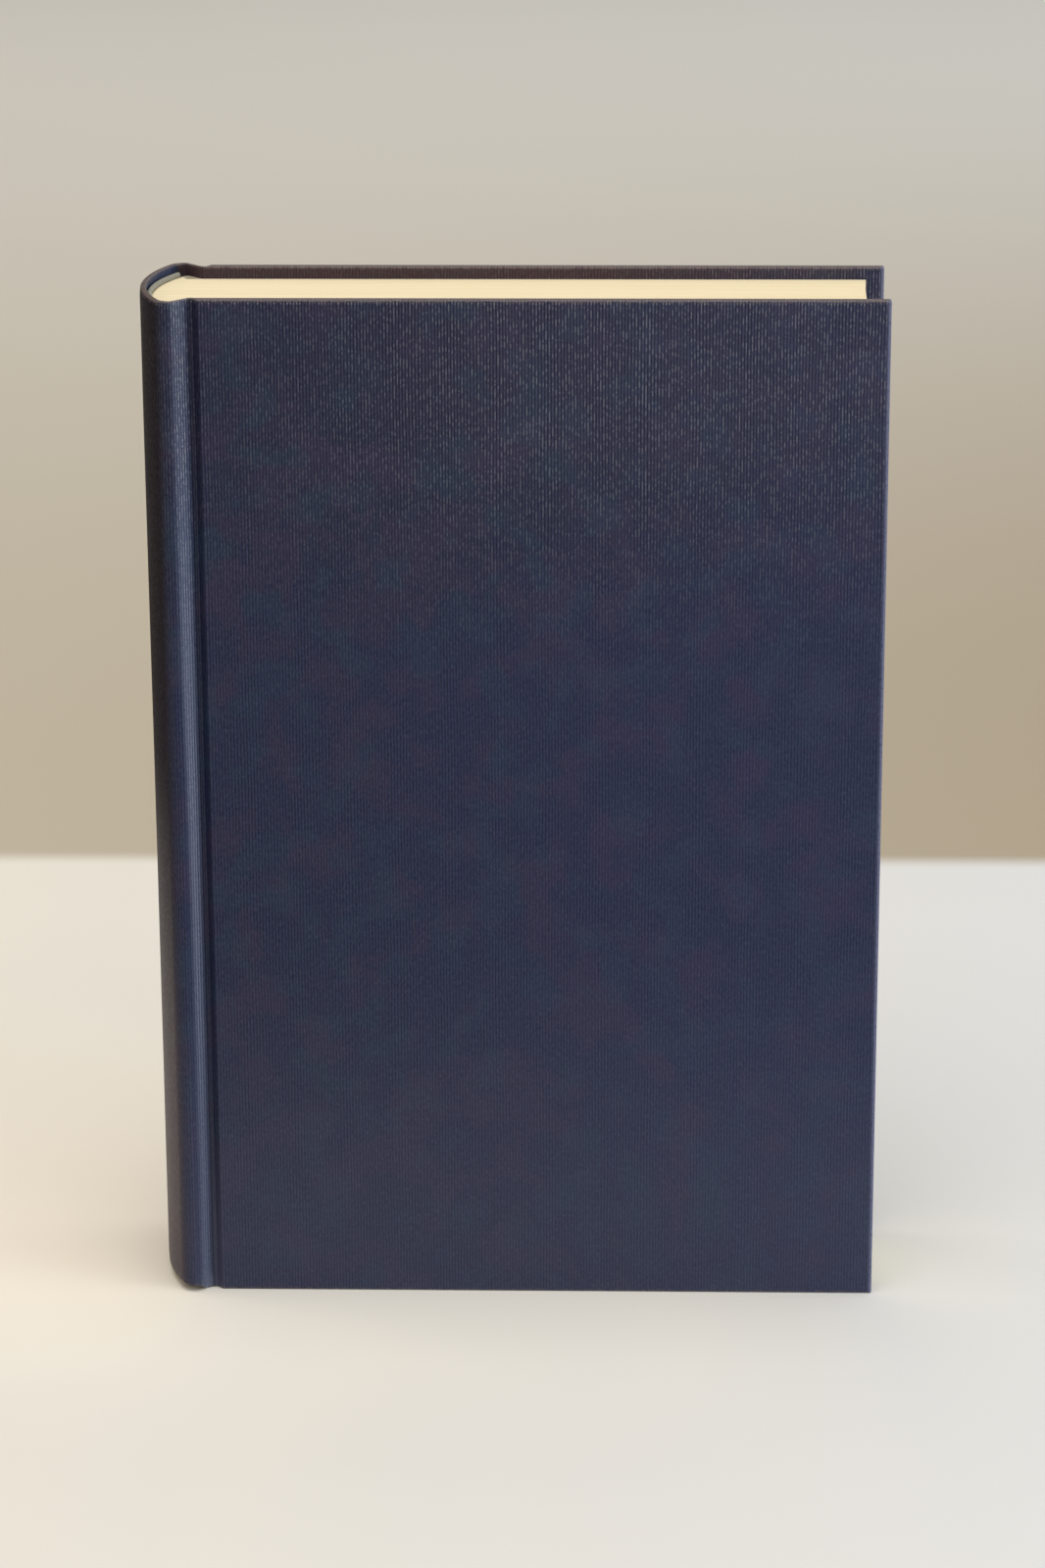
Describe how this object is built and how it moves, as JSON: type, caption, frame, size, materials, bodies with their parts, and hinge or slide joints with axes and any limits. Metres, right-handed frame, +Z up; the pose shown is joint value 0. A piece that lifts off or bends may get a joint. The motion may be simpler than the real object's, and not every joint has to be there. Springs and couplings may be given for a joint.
{
  "type": "hardback book",
  "caption": "Cloth-covered hardback book with a rounded hollow spine, pressed joints, headbands and two covers that swing open.",
  "frame": {"origin": "middle of the footprint on the table, with the book standing on its tail", "axes": "+Z up from tail to head, +X from the spine to the fore-edge, -Y is the side of the front cover"},
  "size_m": [0.1688, 0.0424, 0.24],
  "materials": {
    "book_cloth": "ribbed navy book cloth",
    "pages": "matt trimmed page edges",
    "endpaper": "matt uncoated",
    "mull": "open weave",
    "lining_paper": "matt kraft",
    "headband": "woven",
    "card": "matt grey board"
  },
  "bodies": {
    "root": {"text_block": "pages", "front_flyleaf": "endpaper", "back_flyleaf": "endpaper", "spine_mull": "mull", "spine_lining": "lining_paper", "head_band": "headband", "tail_band": "headband", "spine_inlay": "card", "spine_cloth": "book_cloth"},
    "front_cover": {"front_board": "card", "front_mull_flange": "mull", "front_pastedown": "endpaper", "front_cover_cloth": "book_cloth"},
    "back_cover": {"back_board": "card", "back_mull_flange": "mull", "back_pastedown": "endpaper", "back_cover_cloth": "book_cloth"}
  },
  "joints": [
    {"name": "front_cover_hinge", "type": "hinge", "parent": "root", "child": "front_cover", "pos_m": [-0.07471, -0.02046, 0.12], "axis": [0, 0, -1], "range_deg": [0, 180]},
    {"name": "back_cover_hinge", "type": "hinge", "parent": "root", "child": "back_cover", "pos_m": [-0.07471, 0.02046, 0.12], "axis": [0, 0, 1], "range_deg": [0, 180]}
  ]
}
